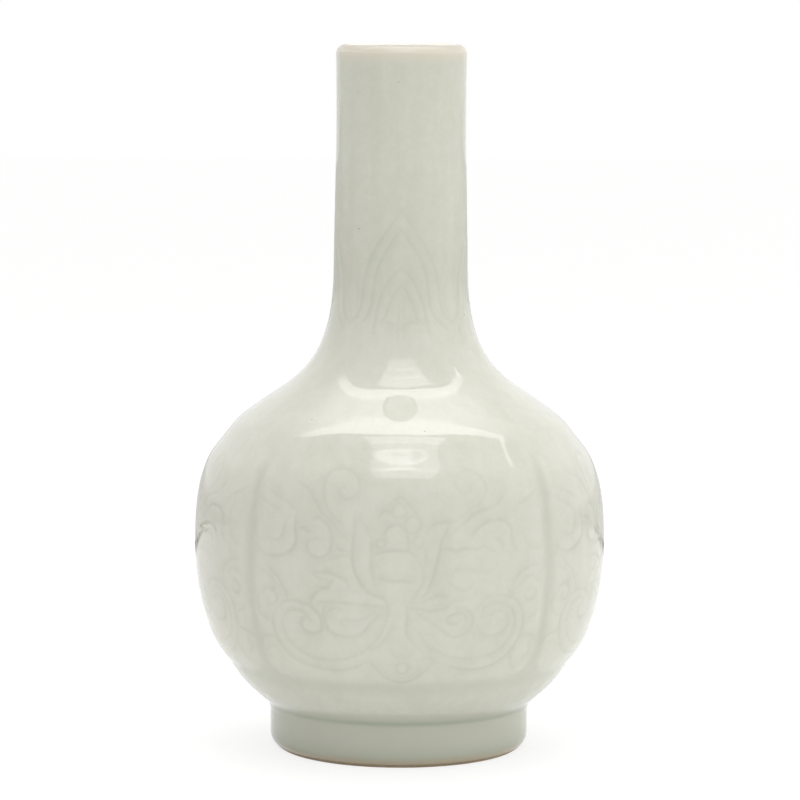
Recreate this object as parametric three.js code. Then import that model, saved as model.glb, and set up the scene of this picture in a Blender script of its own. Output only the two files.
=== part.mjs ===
// An incised porcelain bottle vase with a four-lobed body, taken apart into what the potter makes:
// the sections that are luted together with slip, and the coats of glaze over them.
// Lengths are in millimetres, +Z is up, and the origin is the centre of the foot, on the table.

import * as THREE from 'three';
import { mergeVertices } from 'three/addons/utils/BufferGeometryUtils.js';

// The whole vase
const VASE_HEIGHT = 300;
const BELLY_RADIUS = 87.5;
const BELLY_HEIGHT = 90;

// The foot and the hollow under it
const FOOT_RADIUS = 55.2;
const FOOT_WALL_HEIGHT = 15.5;
const FOOT_CONTACT_RADIUS = 51.3;
const FOOT_EDGE_RISE = 6.5;
const FOOT_EDGE_PULL = 2.2;
const RECESS_RADIUS = 46;
const RECESS_DEPTH = 12;
const RECESS_FILLET = 4;
const BARE_CHAMFER = 0.9;

// The body above the foot
const BOWL_OVERHANG = 2.4;
const BOWL_RISE = 5.5;
const CORNER_INSET = 7.1;
const CORNER_HEIGHT = 127;
const FALL_INSET = 34.5;
const FALL_HEIGHT = 152.3;

// The neck and its rolled lip
const NECK_BOTTOM_RADIUS = 28.5;
const NECK_BOTTOM_HEIGHT = 205;
const MOUTH_RADIUS = 27.7;

// How many degrees the wall leans towards the axis where one curve meets the next, and how far
// that lean carries into the curve below and above, as a share of the curve's span.
const FOOT_TOP_BEND = { lean: 0, above: 0.3 };
const BOWL_BEND = { lean: -49, below: 0.3, above: 0.41 };
const BELLY_BEND = { lean: 0, below: 0.38, above: 0.56 };
const UNDER_CORNER_BEND = { lean: 29, below: 0.2 };
const OVER_CORNER_BEND = { lean: 40, above: 0.54 };
const FALL_BEND = { lean: 57, below: 0.65, above: 0.33 };
const NECK_BOTTOM_BEND = { lean: 0.5, below: 0.51 };
const FLOOR_BEND = { lean: -88, above: 0.4 };

// The wall: a coat of glaze on each side of the clay
const WALL = 5.6;
const GLAZE = 0.6;
const FIT = 0.3;
const FLOOR_CLAY = 6;
const FLOOR_FILLET = 6;
const LIP_GLAZE_REACH = 6;

// The slip seams, each a thin layer with a step halfway through the wall
const SLIP = 0.6;
const BELLY_STEP = 3;
const NECK_SEAM_HEIGHT = 177;
const NECK_STEP = 3;
const FOOT_STEP = 2.7;

// The four upright grooves between the lobes, and the level one below them
const LOBES = 4;
const GROOVE_WIDTH = 5;
const GROOVE_DEPTH = 0.9;
const GROOVE_FADE = 9;
const BORDER_HEIGHT = 37.6;
const BORDER_WIDTH = 5;
const BORDER_DEPTH = 0.7;

// How finely the faces follow the curves
const STEPS_PER_LOBE = 8;
const COVE_STEPS = 2;
const EDGE_STEPS = 3;
const LIP_OUTSIDE_STEPS = 3;
const LIP_INSIDE_STEPS = 2;

const CLAY_DEPTH = GLAZE + FIT;
const LIP_OUTSIDE = 0.75 * WALL;
const LIP_INSIDE = WALL - LIP_OUTSIDE;
const HALF_GROOVE_ANGLE = GROOVE_WIDTH / 2 / BELLY_RADIUS;

// A point of a half section: its distance from the axis, then its height.
function at(radius, height) {
  return new THREE.Vector2(radius, height);
}

// The upward direction of a wall that leans towards the axis by so many degrees.
function leaning(degrees) {
  const angle = THREE.MathUtils.degToRad(degrees);
  return new THREE.Vector2(-Math.sin(angle), Math.cos(angle));
}

// One smooth curve of the wall, from a point and its bend up to a higher point and its bend.
function sweep(start, startBend, end, endBend, steps) {
  const span = start.distanceTo(end);
  const curve = new THREE.CubicBezierCurve(
    start,
    start.clone().addScaledVector(leaning(startBend.lean), startBend.above * span),
    end.clone().addScaledVector(leaning(endBend.lean), -endBend.below * span),
    end,
  );
  return curve.getPoints(steps);
}

// Joins stretches end to end, without the points that they share.
function chained(...stretches) {
  const line = [];
  for (const point of stretches.flat()) {
    if (line.length === 0 || line.at(-1).distanceTo(point) > 1e-6) line.push(point);
  }
  return line;
}

// The same line moved to its left by a depth, with its corners kept square to both sides.
function inset(line, depth) {
  const normals = line.slice(1).map((point, i) => {
    const along = point.clone().sub(line[i]).normalize();
    return new THREE.Vector2(-along.y, along.x);
  });
  return line.map((point, i) => {
    const before = normals[Math.max(i - 1, 0)];
    const after = normals[Math.min(i, normals.length - 1)];
    const mitre = before.clone().add(after);
    mitre.multiplyScalar(depth / (1 + before.dot(after)));
    return point.clone().add(mitre);
  });
}

// The line's radius at a height, on a stretch that only climbs or only falls.
function radiusAt(line, height) {
  for (let i = 1; i < line.length; i += 1) {
    const [low, high] = [line[i - 1], line[i]];
    if ((low.y - height) * (high.y - height) <= 0 && low.y !== high.y) {
      return THREE.MathUtils.mapLinear(height, low.y, high.y, low.x, high.x);
    }
  }
  throw new Error(`the wall does not reach the height ${height}`);
}

// The part of a climbing or falling line between two heights, in the line's own order.
function clipped(line, low, high) {
  const inside = line.filter((point) => point.y > low + 1e-6 && point.y < high - 1e-6);
  const ends = [low, high].map((height) => at(radiusAt(line, height), height));
  if (line[0].y > line.at(-1).y) ends.reverse();
  return [ends[0], ...inside, ends[1]];
}

// The curves of the glazed wall's outside, from the foot up to the neck, each in so many steps.
function wallCurves(bowlSteps, panelSteps, shoulderSteps, rootSteps) {
  const footTop = at(FOOT_RADIUS, FOOT_WALL_HEIGHT);
  const bowlStart = at(FOOT_RADIUS + BOWL_OVERHANG, FOOT_WALL_HEIGHT + BOWL_RISE);
  const belly = at(BELLY_RADIUS, BELLY_HEIGHT);
  const corner = at(BELLY_RADIUS - CORNER_INSET, CORNER_HEIGHT);
  const fall = at(BELLY_RADIUS - FALL_INSET, FALL_HEIGHT);
  const neckBottom = at(NECK_BOTTOM_RADIUS, NECK_BOTTOM_HEIGHT);
  return {
    cove: sweep(footTop, FOOT_TOP_BEND, bowlStart, BOWL_BEND, COVE_STEPS),
    bowl: sweep(bowlStart, BOWL_BEND, belly, BELLY_BEND, bowlSteps),
    panel: sweep(belly, BELLY_BEND, corner, UNDER_CORNER_BEND, panelSteps),
    shoulder: sweep(corner, OVER_CORNER_BEND, fall, FALL_BEND, shoulderSteps),
    root: sweep(fall, FALL_BEND, neckBottom, NECK_BOTTOM_BEND, rootSteps),
  };
}

// The foot's outer edge, rounded from the table up to its wall. The glaze starts one step up.
const footEdgeCurve = new THREE.QuadraticBezierCurve(
  at(FOOT_CONTACT_RADIUS, 0),
  at(FOOT_RADIUS, FOOT_EDGE_PULL),
  at(FOOT_RADIUS, FOOT_EDGE_RISE),
);
const footEdge = footEdgeCurve.getPoints(EDGE_STEPS).slice(1);

// A quarter circle of the lip, which touches the lip's crest. It starts from the neck's
// outside at an angle of 0 and from the crest at a right angle.
function lipRounding(centreRadius, rounding, startAngle, steps) {
  const centreHeight = VASE_HEIGHT - rounding;
  const endAngle = startAngle + Math.PI / 2;
  const arc = new THREE.EllipseCurve(
    centreRadius, centreHeight, rounding, rounding, startAngle, endAngle,
  );
  return arc.getPoints(steps);
}

// The lip is rounded broadly outside and closely into the mouth's bore.
const BORE_RADIUS = MOUTH_RADIUS - WALL;
const lip = [
  ...lipRounding(MOUTH_RADIUS - LIP_OUTSIDE, LIP_OUTSIDE, 0, LIP_OUTSIDE_STEPS),
  ...lipRounding(BORE_RADIUS + LIP_INSIDE, LIP_INSIDE, Math.PI / 2, LIP_INSIDE_STEPS),
];

// The glazed surface outside, over the lip and into the mouth. The clay is on its left.
const outerGlazeFace = chained(
  footEdge,
  ...Object.values(wallCurves(6, 4, 4, 5)),
  lip,
  [at(BORE_RADIUS, VASE_HEIGHT - LIP_GLAZE_REACH)],
);

// The glazed surface inside runs a wall's thickness from the outside, down to a flat floor.
const FLOOR_HEIGHT = RECESS_DEPTH + FLOOR_CLAY + 2 * CLAY_DEPTH;
const { bowl, panel, shoulder, root } = wallCurves(4, 3, 3, 4);
const hollowWall = inset(chained(bowl, panel, shoulder, root), WALL);
const floorEdge = at(hollowWall[0].x - FLOOR_FILLET, FLOOR_HEIGHT);
const fillet = sweep(floorEdge, FLOOR_BEND, hollowWall[0], BOWL_BEND, COVE_STEPS);
const innerGlazeFace = chained(
  [at(BORE_RADIUS, VASE_HEIGHT - LIP_GLAZE_REACH - FIT)],
  chained(fillet, hollowWall).reverse(),
  [at(0, FLOOR_HEIGHT)],
);

// The clay faces that lie under the two coats.
const outerClayFace = inset(outerGlazeFace, CLAY_DEPTH);
const innerClayFace = inset(innerGlazeFace, CLAY_DEPTH);
const crest = outerClayFace.findIndex((point, i) => outerClayFace[i + 1].y < point.y);
const climbingClay = outerClayFace.slice(0, crest + 1);
const fallingClay = chained(outerClayFace.slice(crest), innerClayFace);

// How far the wall is pressed in where a groove runs: one upright groove between each two
// lobes, which fades out at its ends, and one level groove right round below them.
function pressedIn(angle, height) {
  const lobe = (2 * Math.PI) / LOBES;
  const fromGroove = Math.abs(THREE.MathUtils.euclideanModulo(angle, lobe) - lobe / 2);
  const across = Math.max(0, 1 - fromGroove / HALF_GROOVE_ANGLE);
  const above = THREE.MathUtils.smoothstep(height, BORDER_HEIGHT, BORDER_HEIGHT + GROOVE_FADE);
  const below = 1 - THREE.MathUtils.smoothstep(height, CORNER_HEIGHT - GROOVE_FADE, CORNER_HEIGHT);
  const border = Math.max(0, 1 - Math.abs(height - BORDER_HEIGHT) / BORDER_WIDTH);
  return Math.max(GROOVE_DEPTH * across * above * below, BORDER_DEPTH * border);
}

// The angles of the faces round the vase: even steps across each lobe, then three angles
// close together that hold the groove.
function stationAngles() {
  const lobe = (2 * Math.PI) / LOBES;
  const half = lobe / 2 - HALF_GROOVE_ANGLE;
  const angles = [];
  for (let n = 0; n < LOBES; n += 1) {
    for (let step = 0; step <= STEPS_PER_LOBE; step += 1) {
      angles.push(n * lobe - half + (2 * half * step) / STEPS_PER_LOBE);
    }
    angles.push((n + 0.5) * lobe);
  }
  return [...angles, angles[0] + 2 * Math.PI];
}

const STATIONS = stationAngles();

// A half section turned about the axis, pressed in at the grooves. The section is a closed
// loop with the clay on its left, or an open line that starts and ends on the axis. Each
// square between two stations is cut into triangles along the diagonal that climbs the same
// way round, so that the faces of neighbouring coats stay side by side.
function turned(section) {
  const onAxis = section[0].x === 0;
  const profile = onAxis ? section : [...section, section[0]];
  const positions = STATIONS.flatMap((angle) => profile.flatMap(({ x: radius, y: height }) => {
    const pressed = radius === 0 ? 0 : radius - pressedIn(angle, height);
    return [pressed * Math.cos(angle), pressed * Math.sin(angle), height];
  }));
  const faces = [];
  for (let station = 1; station < STATIONS.length; station += 1) {
    for (let row = 1; row < profile.length; row += 1) {
      const here = station * profile.length + row;
      const [a, b] = [here - profile.length - 1, here - 1];
      const [c, d] = [here, here - profile.length];
      const climbs = profile[row].y > profile[row - 1].y;
      faces.push(...(climbs ? [a, b, c, a, c, d] : [a, b, d, b, c, d]));
    }
  }
  const shape = new THREE.BufferGeometry();
  shape.setAttribute('position', new THREE.Float32BufferAttribute(positions, 3));
  shape.setIndex(faces);
  const merged = mergeVertices(shape);
  merged.computeVertexNormals();
  return merged;
}

const finishes = {
  porcelain: { color: 0xe6dfd0, roughness: 0.75, metalness: 0 },
  slip: { color: 0xdcd6c8, roughness: 0.85, metalness: 0 },
  celadon: { color: 0xcdd0c2, roughness: 0.12, metalness: 0 },
  pale: { color: 0xd6d8cb, roughness: 0.15, metalness: 0 },
};

const vase = new THREE.Group();

// Adds a named piece, made from its half section, with a material of its own.
function piece(name, finish, section) {
  const mesh = new THREE.Mesh(turned(section), new THREE.MeshStandardMaterial(finishes[finish]));
  mesh.name = name;
  vase.add(mesh);
}

// The stepped face of a lap joint, from the outside of the wall to the inside. The shift moves
// it up, for the upper piece, or down, and opens the step's upright face by as much.
function lapFace(outer, inner, height, step, shift) {
  const middle = (radiusAt(outer, height) + radiusAt(inner, height + step)) / 2;
  const upright = middle + Math.sign(step) * shift;
  return [
    at(radiusAt(outer, height + shift), height + shift),
    at(upright, height + shift),
    at(upright, height + step + shift),
    at(radiusAt(inner, height + step + shift), height + step + shift),
  ];
}

const CLAY_SHIFT = SLIP / 2 + FIT;
const BASE_UNDERSIDE = RECESS_DEPTH + CLAY_DEPTH;
const RECESS_CLAY_RADIUS = RECESS_RADIUS + CLAY_DEPTH;
const recessClay = [at(RECESS_CLAY_RADIUS, 0), at(RECESS_CLAY_RADIUS, BELLY_HEIGHT)];
const seams = {
  foot: {
    outer: climbingClay,
    inner: recessClay,
    height: BASE_UNDERSIDE - CLAY_SHIFT + FOOT_STEP,
    step: -FOOT_STEP,
  },
  belly: { outer: climbingClay, inner: fallingClay, height: BELLY_HEIGHT, step: BELLY_STEP },
  neck: { outer: climbingClay, inner: fallingClay, height: NECK_SEAM_HEIGHT, step: NECK_STEP },
};

// The face of a seam at a shift, from the outside in.
function seamFace(name, shift) {
  const { outer, inner, height, step } = seams[name];
  return lapFace(outer, inner, height, step, shift);
}

// The foot ring stands on a flat band of bare clay and carries the body on its lap joint.
const footTopFace = seamFace('foot', -CLAY_SHIFT);
piece('foot_ring', 'porcelain', [
  at(FOOT_CONTACT_RADIUS, 0),
  ...clipped(climbingClay, climbingClay[0].y, footTopFace[0].y).slice(0, -1),
  ...footTopFace,
  at(RECESS_CLAY_RADIUS, BARE_CHAMFER),
  at(RECESS_CLAY_RADIUS + BARE_CHAMFER, 0),
]);

// The lower body is a bowl, so it closes on the axis with its floor above and its base below.
const bowlBottom = seamFace('foot', CLAY_SHIFT);
const bowlTop = seamFace('belly', -CLAY_SHIFT);
const floorClayHeight = FLOOR_HEIGHT - CLAY_DEPTH;
piece('lower_body', 'porcelain', [
  at(0, BASE_UNDERSIDE),
  bowlBottom[2],
  bowlBottom[1],
  ...clipped(climbingClay, bowlBottom[0].y, bowlTop[0].y).slice(0, -1),
  ...bowlTop,
  ...clipped(fallingClay, floorClayHeight, bowlTop[3].y).slice(1),
  at(0, floorClayHeight),
]);

// The upper body carries the shoulder and the root of the neck.
const shoulderBottom = seamFace('belly', CLAY_SHIFT);
const shoulderTop = seamFace('neck', -CLAY_SHIFT);
piece('upper_body', 'porcelain', [
  ...clipped(climbingClay, shoulderBottom[0].y, shoulderTop[0].y).slice(1, -1),
  ...shoulderTop,
  ...clipped(fallingClay, shoulderBottom[3].y, shoulderTop[3].y).slice(1, -1),
  ...shoulderBottom.toReversed(),
]);

// The neck rises from the shoulder's seam and closes over its own rolled lip.
const neckBottom = seamFace('neck', CLAY_SHIFT);
piece('neck', 'porcelain', [
  ...clipped(climbingClay, neckBottom[0].y, climbingClay.at(-1).y).slice(1),
  ...clipped(fallingClay, neckBottom[3].y, fallingClay[0].y).slice(1, -1),
  ...neckBottom.toReversed(),
]);

// A layer of slip fills each seam.
for (const seam of Object.keys(seams)) {
  piece(`${seam}_slip`, 'slip', [
    ...seamFace(seam, SLIP / 2),
    ...seamFace(seam, -SLIP / 2).toReversed(),
  ]);
}

// The glaze outside runs from the foot over the lip and just into the mouth. The glaze inside
// was poured and drained, and lines the hollow from there to the floor.
piece('outer_glaze', 'celadon', [
  ...outerGlazeFace,
  ...inset(outerGlazeFace, GLAZE).toReversed(),
]);
piece('inner_glaze', 'pale', [
  ...inset(innerGlazeFace, GLAZE).toReversed(),
  ...innerGlazeFace,
]);

// The glaze under the base lines the hollow of the foot, down to the bare band.
const recessArc = new THREE.EllipseCurve(
  RECESS_RADIUS - RECESS_FILLET, RECESS_DEPTH - RECESS_FILLET, RECESS_FILLET, RECESS_FILLET,
  Math.PI / 2, 0, true,
);
const baseGlazeFace = [
  at(0, RECESS_DEPTH),
  ...recessArc.getPoints(EDGE_STEPS),
  at(RECESS_RADIUS, footEdge[0].y),
];
piece('base_glaze', 'pale', [
  ...baseGlazeFace,
  ...inset(baseGlazeFace, GLAZE).toReversed(),
]);

export default vase;
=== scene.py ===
import math

import bmesh
import bpy
import numpy as np
from mathutils import Matrix, Vector


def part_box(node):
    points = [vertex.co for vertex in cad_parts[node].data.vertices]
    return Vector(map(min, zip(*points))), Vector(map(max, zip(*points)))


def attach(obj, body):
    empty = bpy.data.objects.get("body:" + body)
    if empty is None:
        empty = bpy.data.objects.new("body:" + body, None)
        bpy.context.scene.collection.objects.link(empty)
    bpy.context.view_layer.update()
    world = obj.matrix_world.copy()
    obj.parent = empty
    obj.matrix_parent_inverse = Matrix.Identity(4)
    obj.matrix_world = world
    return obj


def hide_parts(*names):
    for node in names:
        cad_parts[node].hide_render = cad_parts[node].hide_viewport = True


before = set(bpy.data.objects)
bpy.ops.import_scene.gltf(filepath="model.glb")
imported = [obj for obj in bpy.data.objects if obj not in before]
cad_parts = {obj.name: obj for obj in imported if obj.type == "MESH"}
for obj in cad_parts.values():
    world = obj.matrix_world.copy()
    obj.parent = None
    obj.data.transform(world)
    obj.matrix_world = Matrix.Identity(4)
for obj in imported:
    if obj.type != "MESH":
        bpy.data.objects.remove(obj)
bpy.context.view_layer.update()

# Sizes in this script are in millimetres, and MM turns them into Blender's metres.
MM = 0.001

# The clay is one fired body of white porcelain, thrown and trimmed in sections and luted
# together with slip. Glaze hides the sections, so they keep their measured solids here and
# take the bare finish of fired clay.


def tone(red, green, blue):
    """The linear colour of a display colour that is given in levels from 0 to 255."""
    levels = np.array([red, green, blue]) / 255
    linear = np.where(levels <= 0.04045, levels / 12.92, ((levels + 0.055) / 1.055) ** 2.4)
    return (*linear.tolist(), 1.0)


class Wire:
    """A shader socket that can stand in arithmetic: each operation adds its Math node."""

    def __init__(self, nodes, socket):
        self.nodes = nodes
        self.socket = socket

    def _math(self, operation, first, second):
        return self.nodes.add("ShaderNodeMath", {"operation": operation}, {0: first, 1: second})

    def __add__(self, other):
        return self._math("ADD", self, other)

    def __radd__(self, other):
        return self._math("ADD", other, self)

    def __sub__(self, other):
        return self._math("SUBTRACT", self, other)

    def __rsub__(self, other):
        return self._math("SUBTRACT", other, self)

    def __mul__(self, other):
        return self._math("MULTIPLY", self, other)

    def __rmul__(self, other):
        return self._math("MULTIPLY", other, self)


class Nodes:
    """The node tree of a material or of the world."""

    def __init__(self, owner):
        owner.use_nodes = True
        self.tree = owner.node_tree
        self.tree.nodes.clear()

    def add(self, kind, settings=None, inputs=None, output=0):
        """Adds a node, applies its settings, fills its sockets and returns one output."""
        node = self.tree.nodes.new(kind)
        for name, value in (settings or {}).items():
            setattr(node, name, value)
        for name, value in (inputs or {}).items():
            if isinstance(value, Wire):
                self.tree.links.new(value.socket, node.inputs[name])
            else:
                node.inputs[name].default_value = value
        return Wire(self, node.outputs[output]) if node.outputs else None

    def mix(self, share, first, second, blend="MIX"):
        """The second colour laid over the first by a share."""
        settings = {"data_type": "RGBA", "blend_type": blend}
        return self.add("ShaderNodeMix", settings, {0: share, 6: first, 7: second}, output=2)

    def ramp(self, value, low, high):
        """0 where the value is at low and 1 where it is at high, with eased ends."""
        settings = {"interpolation_type": "SMOOTHSTEP"}
        inputs = {"Value": value, "From Min": low, "From Max": high}
        return self.add("ShaderNodeMapRange", settings, inputs)

    def noise(self, place, size, detail=2.0):
        """Cloudy noise from 0 to 1 whose clouds are about as wide as size, in millimetres."""
        inputs = {"Vector": place, "Scale": 1 / (size * MM), "Detail": detail}
        return self.add("ShaderNodeTexNoise", None, inputs)

    def rise(self, value, low, high):
        """The ramp between two lengths, in millimetres."""
        return self.ramp(value, low * MM, high * MM)

    def place(self):
        """Where the shaded point lies on its piece."""
        return self.add("ShaderNodeTexCoord", output="Object")

    def part(self, place, axis):
        """One coordinate of a place, named by its letter."""
        return self.add("ShaderNodeSeparateXYZ", None, {"Vector": place}, output=axis)

    def stretched(self, place, shares):
        """A place with each coordinate times its share."""
        return self.add("ShaderNodeVectorMath", {"operation": "MULTIPLY"}, {0: place, 1: shares})

    def bump(self, height, strength, depth):
        """A normal that shows a fine relief, whose depth is in millimetres."""
        inputs = {"Height": height, "Strength": strength, "Distance": depth * MM}
        return self.add("ShaderNodeBump", None, inputs)

    def surface(self, skin):
        """The material's surface, a principled shader with the values and links of a skin."""
        shader = self.add("ShaderNodeBsdfPrincipled", None, skin)
        self.add("ShaderNodeOutputMaterial", None, {"Surface": shader})


def bare_clay(name, light, dark, roughness):
    """Unglazed fired porcelain: matte, faintly clouded, with a fine sandy grain."""
    material = bpy.data.materials.new(name)
    nodes = Nodes(material)
    place = nodes.place()
    clouds = nodes.ramp(nodes.noise(place, 9, detail=4.0), 0.35, 0.7)
    grain = nodes.noise(place, 0.7, detail=3.0)
    bump = nodes.bump(grain, 0.4, 0.1)
    skin = {
        "Base Color": nodes.mix(clouds, light, dark),
        "Roughness": roughness + 0.1 * grain,
        "Normal": bump,
    }
    nodes.surface(skin)
    return material


CLAY_TONE = tone(231, 222, 206)
CLAY_SHADE = tone(214, 199, 176)
SLIP_TONE = tone(222, 213, 196)
porcelain = bare_clay("bare_porcelain", CLAY_TONE, CLAY_SHADE, roughness=0.65)
slip = bare_clay("luting_slip", SLIP_TONE, CLAY_SHADE, roughness=0.8)
hidden_sections = {
    "lower_body": porcelain,
    "upper_body": porcelain,
    "neck": porcelain,
    "foot_slip": slip,
    "belly_slip": slip,
    "neck_slip": slip,
}
for node_name, material in hidden_sections.items():
    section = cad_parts[node_name].data
    section.materials.clear()
    section.materials.append(material)

# The foot ring is the one piece of clay that shows. It is trimmed to a flat band that the
# vase stands on, wiped clean of glaze, and burnt brown where the glaze ends.
FOOT_RADIUS = 55.2
FOOT_CONTACT_RADIUS = 51.3
FOOT_EDGE_RISE = 6.5
FOOT_EDGE_PULL = 2.2
GLAZE_START = 1 / 3
RECESS_RADIUS = 46
BARE_CHAMFER = 0.9
GLAZE = 0.5
RING_TOP = 14
RING_STEPS = 512
LINING_STEPS = 256
SHARP_ANGLE = 35
FOOT_TONE = tone(222, 205, 180)
BURNT_TONE = tone(163, 145, 121)
BURNT_HEIGHT = 1.1


def foot_edge(share):
    """The rounded edge of the foot: a quadratic curve from the table out and up to the wall,
    whose pull point lies on the wall's line."""
    share = np.asarray(share, float)[:, None]
    table = np.array([FOOT_CONTACT_RADIUS, 0])
    pull = np.array([FOOT_RADIUS, FOOT_EDGE_PULL])
    wall = np.array([FOOT_RADIUS, FOOT_EDGE_RISE])
    return table * (1 - share) ** 2 + pull * 2 * share * (1 - share) + wall * share**2


def turned(name, section, steps):
    """A half section of (radius, height) points turned round the axis: each point gives a
    circle. A section off the axis closes on itself, and one that ends there gets poles."""
    section = np.asarray(section, float)
    if section[0, 0] > 0:
        section = np.vstack([section, section[:1]])
    turns = (np.arange(steps) * (2 * math.pi / steps))[:, None]
    radius, height = section.T
    rings = np.stack([np.sin(turns) * radius, -np.cos(turns) * radius, 0 * turns + height], axis=-1)
    here = np.arange(steps)[:, None] * len(section) + np.arange(len(section) - 1)
    beside = np.roll(here, -1, axis=0)
    faces = np.stack([here, beside, beside + 1, here + 1], axis=-1).reshape(-1, 4)
    mesh = bpy.data.meshes.new(name)
    mesh.from_pydata((rings.reshape(-1, 3) * MM).tolist(), [], faces.tolist())
    work = bmesh.new()
    work.from_mesh(mesh)
    bmesh.ops.remove_doubles(work, verts=work.verts, dist=1e-7)
    work.to_mesh(mesh)
    work.free()
    mesh.polygons.foreach_set("use_smooth", np.ones(len(mesh.polygons), bool))
    mesh.set_sharp_from_angle(angle=math.radians(SHARP_ANGLE))
    shape = bpy.data.objects.new(name, mesh)
    bpy.context.scene.collection.objects.link(shape)
    return shape


def burnt_foot():
    """Bare clay at the foot: cream, with a brown line where the glaze's edge was wiped."""
    material = bpy.data.materials.new("burnt_foot")
    nodes = Nodes(material)
    place = nodes.place()
    height = nodes.part(place, "Z")
    waver = nodes.noise(place, 7, detail=3.0)
    grain = nodes.noise(place, 0.6, detail=3.0)
    burnt = nodes.rise(height + (0.8 * MM) * waver, 0.2, BURNT_HEIGHT)
    stained = nodes.ramp(nodes.noise(place, 2.2, detail=4.0), 0.62, 0.8)
    colour = nodes.mix(burnt, FOOT_TONE, BURNT_TONE)
    colour = nodes.mix(0.5 * stained, colour, BURNT_TONE)
    bump = nodes.bump(grain, 0.5, 0.1)
    skin = {"Base Color": colour, "Roughness": 0.6 + 0.15 * grain, "Normal": bump}
    nodes.surface(skin)
    return material


def finish(shape, node_name, material):
    """Gives a piece its finish, hangs it on the root body, and hides the CAD solid that it stands for."""
    shape.data.materials.append(material)
    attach(shape, "root")
    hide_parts(node_name)


bare_edge = foot_edge(np.linspace(0, GLAZE_START, 12))
under_glaze = foot_edge(np.linspace(GLAZE_START, 1, 12)) - [GLAZE, 0]
foot_section = [
    *bare_edge,
    *under_glaze,
    (FOOT_RADIUS - GLAZE, RING_TOP),
    (RECESS_RADIUS + GLAZE, RING_TOP),
    (RECESS_RADIUS + GLAZE, bare_edge[-1, 1]),
    (RECESS_RADIUS, bare_edge[-1, 1]),
    (RECESS_RADIUS, BARE_CHAMFER),
    (RECESS_RADIUS + BARE_CHAMFER, 0),
]
foot = turned("bare_foot_ring", foot_section, RING_STEPS)
finish(foot, "foot_ring", burnt_foot())

# The celadon coat covers the vase from the foot's edge over the lip and into the mouth. Its
# face follows the thrown wall, softened over the four lobes and over the lines that were cut
# into the leather-hard clay, and it is darker wherever it lies thicker in a cut.
BELLY_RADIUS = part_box("outer_glaze")[1].x / MM
VASE_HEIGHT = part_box("outer_glaze")[1].z / MM
BELLY_HEIGHT = 90
FOOT_WALL_HEIGHT = 15.5
BOWL_OVERHANG = 2.4
BOWL_RISE = 5.5
CORNER_INSET = 7.1
CORNER_HEIGHT = 127
CORNER_WEAR = 7
FALL_INSET = 34.5
FALL_HEIGHT = 152.3
NECK_BOTTOM_RADIUS = 28.5
NECK_BOTTOM_HEIGHT = 205
NECK_WAIST_RADIUS = 27.5
NECK_WAIST_HEIGHT = 268
MOUTH_RADIUS = 27.7
WALL = 5.6
LIP_OUTSIDE = 0.75 * WALL
LIP_INSIDE = WALL - LIP_OUTSIDE
LIP_GLAZE_REACH = 6


def sweep(start, start_lean, start_reach, end, end_lean, end_reach, steps=400):
    """Points of a cubic from start to end, both (radius, height). A lean is how many degrees
    the wall tips towards the axis, and a reach is a share of the straight span."""
    start, end = np.array(start, float), np.array(end, float)
    span = np.linalg.norm(end - start)
    leans = np.radians([start_lean, end_lean])
    upward = np.stack([-np.sin(leans), np.cos(leans)], axis=1)
    first = start + upward[0] * start_reach * span
    second = end - upward[1] * end_reach * span
    t = np.linspace(0, 1, steps)[:, None]
    weights = [(1 - t) ** 3, 3 * t * (1 - t) ** 2, 3 * t**2 * (1 - t), t**3]
    return sum(weight * point for weight, point in zip(weights, (start, first, second, end)))


foot_top = (FOOT_RADIUS, FOOT_WALL_HEIGHT)
bowl_start = (FOOT_RADIUS + BOWL_OVERHANG, FOOT_WALL_HEIGHT + BOWL_RISE)
belly = (BELLY_RADIUS, BELLY_HEIGHT)
corner = (BELLY_RADIUS - CORNER_INSET, CORNER_HEIGHT)
fall = (BELLY_RADIUS - FALL_INSET, FALL_HEIGHT)
neck_bottom = (NECK_BOTTOM_RADIUS, NECK_BOTTOM_HEIGHT)
neck_waist = (NECK_WAIST_RADIUS, NECK_WAIST_HEIGHT)
bore_radius = MOUTH_RADIUS - WALL


def rounding(centre_radius, size, start, steps=100):
    """A quarter circle of the lip that touches the lip's crest: from the outside when it
    starts at an angle of 0, and from the crest when it starts at a right angle."""
    turn = start + np.linspace(0, math.pi / 2, steps)[:, None]
    return [centre_radius, VASE_HEIGHT - size] + np.hstack([np.cos(turn), np.sin(turn)]) * size


lip_outside = rounding(MOUTH_RADIUS - LIP_OUTSIDE, LIP_OUTSIDE, 0)
lip_inside = rounding(bore_radius + LIP_INSIDE, LIP_INSIDE, math.pi / 2)
profile = np.vstack(
    [
        foot_edge(np.linspace(GLAZE_START, 1, 100)),
        sweep((FOOT_RADIUS, FOOT_EDGE_RISE), 0, 0.3, foot_top, 0, 0.3)[1:],
        sweep(foot_top, 0, 0.3, bowl_start, -49, 0.3)[1:],
        sweep(bowl_start, -49, 0.41, belly, 0, 0.38)[1:],
        sweep(belly, 0, 0.56, corner, 29, 0.2)[1:],
        sweep(corner, 40, 0.54, fall, 57, 0.65)[1:],
        sweep(fall, 57, 0.33, neck_bottom, 0.5, 0.51)[1:],
        sweep(neck_bottom, 0.5, 0.3, neck_waist, 0, 0.3)[1:],
        sweep(neck_waist, 0, 0.4, lip_outside[0], -0.9, 0.3)[1:],
        lip_outside[1:],
        lip_inside[1:],
        sweep(lip_inside[-1], 180, 0.3, (bore_radius, VASE_HEIGHT - LIP_GLAZE_REACH), 180, 0.3, 20)[1:],
    ]
)


def hill(value, middle, width):
    """A bell curve of height 1."""
    return np.exp(-(((value - middle) / width) ** 2))


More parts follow.
